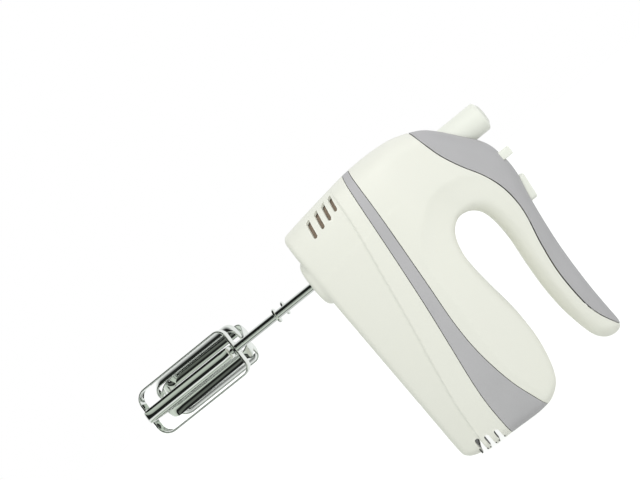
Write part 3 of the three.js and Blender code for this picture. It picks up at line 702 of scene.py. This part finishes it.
masterPoints, masterFaces = surfaceOf(casingField, casing["low"], casing["high"], casing["grid"])
print("casing form:", len(masterPoints), "points")


# The shells are cut from the casing's form along these parting lines, given as (z, x).

seams = {
    "bandLower": [(-15, -6.5), (0, -7.4), (25, -8.1), (44, -6.8), (70, -3.4), (101, 0.6), (133, 4), (165, 7),
                  (199.5, 9.8), (215, 10.8)],
    "bandUpper": [(-15, 29), (0, 23), (12, 18.6), (31, 12.6), (57, 8.5), (82, 8.1), (114, 10.6), (165, 14.2),
                  (199.9, 15.3), (215, 15.6)],
    "coverEdge": [(0, 97), (13, 89.8), (26, 84), (39, 81.5), (62, 81.1), (84, 83.9), (104, 88), (117, 88.8),
                  (130, 87.2), (143, 82.6), (156.6, 75), (170, 68.9), (183, 65.2), (196.5, 62.2), (215, 57)],
}
seamAt = {name: smoothGraph(points) for name, points in seams.items()}


def aboveSeam(name, side):
    # positive on the handle side of a parting line
    line = seamAt[name]
    gap = casing["coverSeam"] if name == "coverEdge" else casing["seam"]
    return lambda co: co[:, 0] - line(co[:, 2]) - side * gap / 2


def belowSeam(name):
    above = aboveSeam(name, -1)
    return lambda co: -above(co)


def outsideHeelSlot(x, half, roof):
    # positive outside a round-topped slot in the heel; the teeth between the slots have round tips
    def value(co):
        flare = vents["toothTip"] * np.clip(1 - co[:, 2] / 2.4, 0, 1) ** 2
        return np.hypot(co[:, 0] - x, np.maximum(co[:, 2] - roof + half, 0)) - half - flare
    return value


def outsideLeaningSlot(x, z0, z1, half):
    # positive outside a slot that leans a little and has a round rear end and a slanted front end
    def value(co):
        dx = co[:, 0] - x - vents["lean"] * (co[:, 2] - (z0 + z1) / 2)
        rear = np.hypot(dx, np.minimum(co[:, 2] - z0 - half, 0)) - half
        front = co[:, 2] - z1 - 0.5 * dx
        return softMax(rear, front, 0.5)
    return value


def outsideRoundX(y, z, radius, upward):
    # positive outside a round hole along X, on the handle side or on the beater side
    def value(co):
        ring = np.hypot(co[:, 1] - y, co[:, 2] - z) - radius
        return np.where((co[:, 0] > 40) == upward, ring, 99.0)
    return value


def shellBetween(lower, upper, openings=(), lines=()):
    # the part of the casing between two parting lines, with its openings; lines are kept as edges
    bm = meshFrom(masterPoints, masterFaces)
    for line in lines:
        cutAlong(bm, line, 0.25)
    if lines:
        settle(bm)
    for limit in (lower, upper):
        if limit is not None:
            cutAlong(bm, limit)
            keepWhere(bm, limit)
    for opening in openings:
        cutAlong(bm, opening, 0.12)
        keepWhere(bm, opening)
    bmesh.ops.recalc_face_normals(bm, faces=bm.faces)
    outward = sum(f.calc_center_median().dot(f.normal) * f.calc_area() for f in bm.faces)
    if outward < 0:
        bmesh.ops.reverse_faces(bm, faces=bm.faces)
    return bm


def thicken(piece, wall=None, edge=0.28):
    solid = piece.modifiers.new("wall", "SOLIDIFY")
    solid.thickness = (wall or casing["wall"]) * mm
    solid.offset = -1
    solid.use_even_offset = False
    addBevel(piece, edge, 50)


vents = {
    "nose": [(-26.9, 179.4, 192.3, 1.55), (-19.1, 181.4, 193.9, 1.55), (-12.2, 183.0, 195.0, 1.5),
             (-5.6, 185.0, 195.9, 1.4)],
    "lean": 0.11,
    "heel": [(-28.6, 1.8, 13.2), (-22.0, 1.8, 11.9), (-14.9, 1.8, 10.9)],
    "toothTip": 1.3,
    "shaftHole": 5.0,
    "shaftY": 19,
    "shaftZ": 156,
    "screws": [(-28.5, 51), (28.5, 51), (-28.5, 116), (28.5, 116)],
    "screwHole": 3.3,
}


inlet = {"x": -21.8, "halfX": 9.4, "halfY": 28.0, "top": 7}
channel = {"wall": 0.8, "outer": 35.5, "inner": 27.0, "foot": 2.6, "roof": 14.6, "lid": 0.9, "play": 0.05}


def outsideInlet(co):
    # positive outside the open space between the heel slots of the two sides
    side = np.maximum(np.abs(co[:, 0] - inlet["x"]) - inlet["halfX"], np.abs(co[:, 1]) - inlet["halfY"])
    return np.maximum(side, co[:, 2] - inlet["top"])


def makeLowerShell():
    openings = [outsideHeelSlot(*slot) for slot in vents["heel"]]
    openings.append(outsideInlet)
    openings += [outsideLeaningSlot(*slot) for slot in vents["nose"]]
    for side in (-1, 1):
        openings.append(outsideRoundX(side * vents["shaftY"], vents["shaftZ"], vents["shaftHole"], False))
    for y, z in vents["screws"]:
        openings.append(outsideRoundX(y, z, vents["screwHole"], False))
    lines = [lambda co: co[:, 0] - creaseAt(co[:, 2]), lambda co: co[:, 0] - creaseAt(co[:, 2]) + 1]
    bm = shellBetween(None, belowSeam("bandLower"), openings, lines)
    piece = newPiece("lower_shell", bm, "housing", whitePlastic, ["lower_housing"])
    thicken(piece)


shadeSheet = {"x": -16, "halfX": 18, "z": 187, "halfZ": 9.5, "innerY": 26, "inward": 3.3, "sheet": 0.6}


def makeSlotShadeSheet():
    # painted shade: a brown sheet close behind the nose slots stands for the shaded inside seen through them
    bm = meshFrom(masterPoints, masterFaces)
    keepWhere(bm, lambda co: np.minimum(shadeSheet["halfX"] - np.abs(co[:, 0] - shadeSheet["x"]),
                                        shadeSheet["halfZ"] - np.abs(co[:, 2] - shadeSheet["z"])))
    keepWhere(bm, lambda co: np.abs(co[:, 1]) - shadeSheet["innerY"])
    bmesh.ops.recalc_face_normals(bm, faces=bm.faces)
    for v in bm.verts:
        outward = v.normal if v.normal.y * v.co.y > 0 else -v.normal
        v.co -= outward * shadeSheet["inward"]
    piece = newPiece("slot_shade_sheet", bm, "housing", slotShadeFinish)
    solid = piece.modifiers.new("sheet", "SOLIDIFY")
    solid.thickness = shadeSheet["sheet"] * mm
    solid.offset = 0


def makeHeelShadeWalls():
    # short dark walls line the heel slots from each side, and a lid closes the space between them; painted
    # shade: their black stands for the shade on the slots' inner walls
    bm = bmesh.new()

    def sweep(loop, y0, y1):
        ends = [[bm.verts.new((x, y, z)) for x, z in loop] for y in (y0, y1)]
        n = len(loop)
        for i in range(n):
            j = (i + 1) % n
            bm.faces.new((ends[0][i], ends[0][j], ends[1][j], ends[1][i]))
        for end in ends:
            for i in range(n // 2 - 1):
                bm.faces.new((end[i], end[i + 1], end[n - 2 - i], end[n - 1 - i]))

    def archOver(x, shoulder, r):
        turns = [math.pi - math.pi * i / 12 for i in range(13)]
        arch = [(x + r * math.cos(a), shoulder + r * math.sin(a)) for a in turns]
        return [(x - r, channel["foot"])] + arch + [(x + r, channel["foot"])]

    for x, half, roof in vents["heel"]:
        inner = archOver(x, roof - half, half + channel["play"])
        outer = archOver(x, roof - half, half + channel["play"] + channel["wall"])
        for side in (-1, 1):
            sweep(inner + outer[::-1], side * channel["inner"], side * channel["outer"])
    x0, x1 = inlet["x"] - inlet["halfX"], inlet["x"] + inlet["halfX"]
    z0, z1, w = channel["foot"], channel["roof"], channel["lid"]
    lid = [(x0, z0), (x0, z1), (x1, z1), (x1, z0)]
    lid += [(x1 + w, z0), (x1 + w, z1 + w), (x0 - w, z1 + w), (x0 - w, z0)]
    sweep(lid, -channel["inner"], channel["inner"])
    bmesh.ops.recalc_face_normals(bm, faces=bm.faces)
    # painted shade: walls and lid take the black moulding finish to look shaded
    piece = newPiece("heel_shade_walls", bm, "housing", slotFinish["black_plastic"])
    setCrease(piece, 40)


def makeBandShell():
    bm = shellBetween(aboveSeam("bandLower", 1), belowSeam("bandUpper"))
    piece = newPiece("band_shell", bm, "housing", greyPlastic, ["trim_band"])
    thicken(piece)


gripScrews = {"z": (28, 100), "hole": 3.3, "faceX": 76}


def makeUpperShell():
    holes = [outsideRoundX(0, z, gripScrews["hole"], True) for z in gripScrews["z"]]
    limited = [lambda co, h=h: np.where(co[:, 0] < gripScrews["faceX"], h(co), 99.0) for h in holes]
    bm = shellBetween(aboveSeam("bandUpper", 1), belowSeam("coverEdge"), limited)
    piece = newPiece("upper_shell", bm, "housing", whitePlastic, ["upper_housing"])
    thicken(piece)


top = {
    "ejectZ": 174.7, "ejectHole": 11.3,
    "turboZ": 118.2, "turboHalfZ": 9.8, "turboHalfY": 8.5, "turboCorner": 3.4,
    "grooveZ": 145.1, "grooveHalf": 3.5, "grooveFloor": 99.6,
    "slotHalfY": 11.6, "slotHalfZ": 2.1, "slotCorner": 1.0,
    "wall": 1.6, "edge": 0.22,
}


def outsidePatch(z0, z1, halfY, corner):
    # positive outside a rounded opening in the top of the cover
    def value(co):
        dy = np.abs(co[:, 1]) - halfY + corner
        dz = np.abs(co[:, 2] - (z0 + z1) / 2) - (z1 - z0) / 2 + corner
        ring = np.hypot(np.maximum(dy, 0), np.maximum(dz, 0)) + np.minimum(np.maximum(dy, dz), 0) - corner
        return np.where(co[:, 0] > 60, ring, 99.0)
    return value


def sinkGroove(bm):
    # the slider's channel across the top: its floor is pushed down, leaving upright walls
    z0, z1 = top["grooveZ"] - top["grooveHalf"], top["grooveZ"] + top["grooveHalf"]
    for edge in (z0, z1):
        cutAlong(bm, lambda co, e=edge: co[:, 2] - e, 0.15)
    floorLine = top["grooveFloor"]
    within = top["grooveHalf"] + 0.01
    cutAlong(bm, lambda co: np.where(np.abs(co[:, 2] - top["grooveZ"]) < within, co[:, 0] - floorLine, 99.0),
             0.15)
    floor = [f for f in bm.faces
             if z0 < f.calc_center_median().z < z1 and f.calc_center_median().x > floorLine]
    result = bmesh.ops.extrude_face_region(bm, geom=floor)
    moved = [g for g in result["geom"] if isinstance(g, bmesh.types.BMVert)]
    bmesh.ops.delete(bm, geom=[f for f in floor if f.is_valid], context="FACES_ONLY")
    for v in moved:
        v.co.x = min(v.co.x, floorLine + 0.25 * (v.co.x - floorLine))


def makeCoverShell():
    z = top["turboZ"]
    openings = [outsideRoundX(0, top["ejectZ"], top["ejectHole"], True),
                outsidePatch(z - top["turboHalfZ"], z + top["turboHalfZ"], top["turboHalfY"],
                             top["turboCorner"])]
    bm = shellBetween(aboveSeam("coverEdge", 1), None, openings)
    sinkGroove(bm)
    g = top["grooveZ"]
    slot = outsidePatch(g - top["slotHalfZ"], g + top["slotHalfZ"], top["slotHalfY"], top["slotCorner"])
    cutAlong(bm, slot, 0.12)
    keepWhere(bm, slot)
    piece = newPiece("cover_shell", bm, "housing", coverGreyShaded, ["handle_cover"])
    thicken(piece, top["wall"], top["edge"])


makeLowerShell()
makeSlotShadeSheet()
makeHeelShadeWalls()
makeBandShell()
makeUpperShell()
makeCoverShell()
print("casing shells made")


# Buttons and their spring.

def spinAbout(profile, steps, place):
    # turns a profile of (radius, height along X) about a line along X
    bm = bmesh.new()
    rings = []
    for radius, height in profile:
        if radius < 1e-6:
            rings.append([bm.verts.new((height, place[0], place[1]))])
            continue
        ring = []
        for i in range(steps):
            turn = 2 * math.pi * i / steps
            y, z = place[0] + radius * math.cos(turn), place[1] + radius * math.sin(turn)
            ring.append(bm.verts.new((height, y, z)))
        rings.append(ring)
    for a, b in zip(rings, rings[1:]):
        for i in range(steps):
            j = (i + 1) % steps
            quad = [a[i % len(a)], a[j % len(a)], b[j % len(b)], b[i % len(b)]]
            unique = [v for n, v in enumerate(quad) if v not in quad[:n]]
            if len(unique) > 2:
                bm.faces.new(unique)
    bmesh.ops.recalc_face_normals(bm, faces=bm.faces)
    return bm


eject = {"radius": 10.9, "top": 109.8, "bottom": 74.0, "wall": 2.0, "edge": 2.0, "crown": 1.7, "z": 174.7}


def makeEjectButton():
    r, t, e = eject["radius"], eject["top"], eject["edge"]
    profile = [(0, t), (r * 0.35, t - 0.08), (r * 0.6, t - 0.25), (r - e, t - eject["crown"])]
    for i in range(1, 9):
        turn = i / 8 * math.pi / 2
        profile.append((r - e + e * math.sin(turn), t - eject["crown"] - e + e * math.cos(turn)))
    inner = r - eject["wall"]
    profile += [(r, t - 12), (r, t - 20), (r, eject["bottom"] + 0.3), (r - 0.3, eject["bottom"]),
                (inner, eject["bottom"]), (inner, t - 4), (0, t - 3.6)]
    bm = spinAbout(profile, 72, (0, eject["z"]))
    piece = newPiece("eject_cap", bm, "eject", buttonPlastic, ["eject_button"])
    setCrease(piece, 40)


spring = {
    "z": 174.7, "low": 62.1, "high": 83.1, "radius": 5.6, "wire": 0.6, "turns": 5, "steps": 24, "sides": 8,
    "travel": 7.0,
}


def makeEjectSpring():
    # a coil on the ejector's stem, built at one length
    bm = bmesh.new()
    count = spring["turns"] * spring["steps"]
    rings = []
    for i in range(count + 1):
        turn = 2 * math.pi * i / spring["steps"]
        outward = Vector((0, math.cos(turn), math.sin(turn)))
        centre = Vector((spring["low"] + (spring["high"] - spring["low"]) * i / count, 0, spring["z"]))
        centre += outward * spring["radius"]
        ring = []
        for k in range(spring["sides"]):
            around = 2 * math.pi * k / spring["sides"]
            offset = outward * math.cos(around) + Vector((1, 0, 0)) * math.sin(around)
            ring.append(bm.verts.new(centre + offset * spring["wire"]))
        rings.append(ring)
    sides = spring["sides"]
    for a, b in zip(rings, rings[1:]):
        for k in range(sides):
            j = (k + 1) % sides
            bm.faces.new((a[k], a[j], b[j], b[k]))
    bm.faces.new(rings[0])
    bm.faces.new(rings[-1][::-1])
    bmesh.ops.recalc_face_normals(bm, faces=bm.faces)
    piece = newPiece("eject_spring_coil", bm, "housing", springSteel, ["ejector_spring"])
    setCrease(piece, 50)
    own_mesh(piece)


def roundedBlock(x0, x1, y0, y1, z0, z1, corner, edge, crown=0.0, steps=5):
    # an upright block with round corners, a soft upper edge and a slightly domed top
    bm = bmesh.new()
    cy, cz = (y0 + y1) / 2, (z0 + z1) / 2
    hy, hz = (y1 - y0) / 2, (z1 - z0) / 2

    def ringAt(x, shrink):
        c = max(corner - shrink, 0.15)
        ring = []
        for sy, sz, start in ((1, 1, 0), (-1, 1, 90), (-1, -1, 180), (1, -1, 270)):
            for i in range(steps + 1):
                turn = math.radians(start + 90 * i / steps)
                ring.append(bm.verts.new((x, cy + sy * (hy - shrink - c) + c * math.cos(turn),
                                          cz + sz * (hz - shrink - c) + c * math.sin(turn))))
        return ring

    rings = [ringAt(x0, 0), ringAt(x0 + (x1 - x0) * 0.5, 0)]
    for i in range(steps + 1):
        turn = i / steps * math.pi / 2
        rings.append(ringAt(x1 - crown - edge + edge * math.sin(turn), edge * (1 - math.cos(turn))))
    for part in (0.3, 0.6, 0.85):
        rings.append(ringAt(x1 - crown * (1 - part) ** 1.5, edge + (min(hy, hz) - edge - 0.3) * part))
    for a, b in zip(rings, rings[1:]):
        for i in range(len(a)):
            j = (i + 1) % len(a)
            bm.faces.new((a[i], a[j], b[j], b[i]))
    bm.faces.new(rings[0])
    bm.faces.new(rings[-1])
    bmesh.ops.recalc_face_normals(bm, faces=bm.faces)
    return bm


def joinInto(bm, other):
    mesh = bpy.data.meshes.new("joined")
    other.to_mesh(mesh)
    other.free()
    bm.from_mesh(mesh)
    bpy.data.meshes.remove(mesh)


turbo = {
    "z": 118.2, "halfZ": 9.3, "halfY": 8.0, "top": 105.3, "bottom": 94.0, "corner": 3.2, "edge": 1.1,
    "crown": 0.5, "slant": 0.115,
    "flange": {"low": 92.0, "high": 93.7, "halfY": 9.2, "halfZ": 10.8, "corner": 3.6, "edge": 0.3},
}


def makeTurboButton():
    z = turbo["z"]
    bm = roundedBlock(turbo["bottom"], turbo["top"], -turbo["halfY"], turbo["halfY"], z - turbo["halfZ"],
                      z + turbo["halfZ"], turbo["corner"], turbo["edge"], turbo["crown"])
    for v in bm.verts:
        if v.co.x > turbo["bottom"] + 3:
            v.co.x += turbo["slant"] * (v.co.z - z - turbo["halfZ"])
    form = turbo["flange"]
    joinInto(bm, roundedBlock(form["low"], form["high"], -form["halfY"], form["halfY"], z - form["halfZ"],
                              z + form["halfZ"], form["corner"], form["edge"]))
    piece = newPiece("turbo_cap", bm, "turbo", buttonPlastic, ["turbo_button"])
    setCrease(piece, 50)


# under the knob are its neck, the plate that guides it and the pin that moves the switch
slider = {
    "y": -8, "z": 145.1, "halfY": 4.0, "halfZ": 3.15, "top": 107.8, "bottom": 98.0, "corner": 1.0,
    "edge": 0.7, "crown": 0.2,
    "under": [(90.6, 98.5, 3.1, 1.65), (90.0, 91.3, 4.0, 4.9), (85.4, 91.0, 1.5, 1.5)],
    "underCorner": 0.5, "underEdge": 0.2,
}


def makeSliderKnob():
    y, z = slider["y"], slider["z"]
    bm = roundedBlock(slider["bottom"], slider["top"], y - slider["halfY"], y + slider["halfY"],
                      z - slider["halfZ"], z + slider["halfZ"], slider["corner"], slider["edge"],
                      slider["crown"])
    for x0, x1, hy, hz in slider["under"]:
        joinInto(bm, roundedBlock(x0, x1, y - hy, y + hy, z - hz, z + hz, slider["underCorner"],
                                  slider["underEdge"]))
    piece = newPiece("slider_knob", bm, "slider", buttonPlastic, ["speed_slider"])
    setCrease(piece, 50)


makeEjectButton()
makeEjectSpring()
makeTurboButton()
makeSliderKnob()
print("buttons made")


# Beaters.

beater = {
    "shaft": 2.75, "top": 0.0, "end": -199.1, "shaftRings": (-30, -60, -79, -100, -119, -160),
    "cageTop": -120.0, "cageBottom": -198.5, "cage": 18.2, "strip": 9.0, "thick": 1.2, "crown": 0.38,
    "topCorner": 6.5, "bottomCorner": 9.0, "nest": 1.5,
    "collar": -84.0, "collarRadius": 5.7, "collarHalf": 0.8,
    "turn": {"left": 87, "right": 31},
    "z": 156, "y": 19,
}


def loopPath(nest):
    # middle line of one strip loop: (x, out) and the outward direction at each point
    t = beater["thick"] / 2
    topX, endX, half = beater["cageTop"] - nest - t, beater["cageBottom"] + nest + t, beater["cage"] - t
    path = []

    def arc(cx, cy, r, start, stop, steps=9):
        for i in range(steps + 1):
            a = math.radians(start + (stop - start) * i / steps)
            path.append((cx + r * math.cos(a), cy + r * math.sin(a), math.cos(a), math.sin(a)))

    rt, rb = beater["topCorner"] - t, beater["bottomCorner"] - t
    arc(topX - rt, half - rt, rt, 0, 90)
    for part in np.linspace(0.1, 0.9, 9):
        path.append((topX - rt + (endX + rb - topX + rt) * part, half, 0, 1))
    arc(endX + rb, half - rb, rb, 90, 180)
    for part in (-0.5, 0.0, 0.5):
        path.append((endX, -part * (half - rb) * 1.6, -1, 0))
    arc(endX + rb, -half + rb, rb, 180, 270)
    for part in np.linspace(0.1, 0.9, 9):
        path.append((endX + rb + (topX - rt - endX - rb) * part, -half, 0, -1))
    arc(topX - rt, -half + rt, rt, 270, 360)
    for part in (-0.5, 0.0, 0.5):
        path.append((topX, part * (half - rt) * 1.6, 1, 0))
    return path


def stripSection():
    # the strip's section: a shallow arch of even thickness with round edges
    w, t, c = beater["strip"] / 2, beater["thick"] / 2, beater["crown"]
    across = np.linspace(-(w - t), w - t, 9)
    section = [(u, c * (1 - (u / w) ** 2) + t) for u in across]
    section += [(w - t + t * math.cos(a), t * math.sin(a)) for a in np.radians([60, 30, 0, -30, -60])]
    section += [(u, c * (1 - (u / w) ** 2) - t) for u in across[::-1]]
    section += [(-w + t + t * math.cos(a), t * math.sin(a)) for a in np.radians([-120, -150, 180, 150, 120])]
    return section


def makeLoop(side, which, nest, turn):
    sign = -1 if side == "left" else 1
    bm = bmesh.new()
    section = stripSection()
    spin = Matrix.Rotation(math.radians(turn), 3, "X")
    centre = Vector((0, sign * beater["y"], beater["z"]))
    rings = []
    for x, out, nx, nOut in loopPath(nest):
        ring = []
        for across, lift in section:
            spot = Vector((x + nx * lift, out + nOut * lift, across))
            ring.append(bm.verts.new(spin @ spot + centre))
        rings.append(ring)
    for a, b in zip(rings, rings[1:] + rings[:1]):
        for i in range(len(section)):
            j = (i + 1) % len(section)
            bm.faces.new((a[i], a[j], b[j], b[i]))
    bmesh.ops.remove_doubles(bm, verts=bm.verts, dist=0.01)
    bmesh.ops.recalc_face_normals(bm, faces=bm.faces)
    name = f"{side}_wire_{which}"
    piece = newPiece(name, bm, f"{side}_beater", chrome, [f"{side}_beater_loop_{which}"])
    setCrease(piece, 60)


def makeBeater(side):
    sign = -1 if side == "left" else 1
    place = (sign * beater["y"], beater["z"])
    r = beater["shaft"]
    high, low = beater["top"], beater["end"]
    profile = [(0, high), (r - 1.1, high), (r - 0.5, high - 0.3), (r, high - 1.4)]
    profile += [(r, x) for x in beater["shaftRings"]]
    profile += [(r, low + 0.6), (r - 0.5, low), (0, low)]
    bm = spinAbout(profile, 40, place)
    piece = newPiece(f"{side}_rod", bm, f"{side}_beater", chrome, [f"{side}_beater_shaft"])
    setCrease(piece, 50)
    c, h, outer = beater["collar"], beater["collarHalf"], beater["collarRadius"]
    ring = [(r, c - h), (outer - 0.5, c - h), (outer - 0.1, c - h + 0.25), (outer, c),
            (outer - 0.1, c + h - 0.25), (outer - 0.5, c + h), (r, c + h)]
    bm = spinAbout(ring + ring[:1], 56, place)
    bmesh.ops.remove_doubles(bm, verts=bm.verts, dist=0.001)
    piece = newPiece(f"{side}_collar", bm, f"{side}_beater", chrome, [f"{side}_beater_collar"])
    setCrease(piece, 50)
    turn = beater["turn"][side]
    makeLoop(side, "a", 0, turn)
    makeLoop(side, "b", beater["nest"], turn + 90)


for side in ("left", "right"):
    makeBeater(side)
print("beaters made")
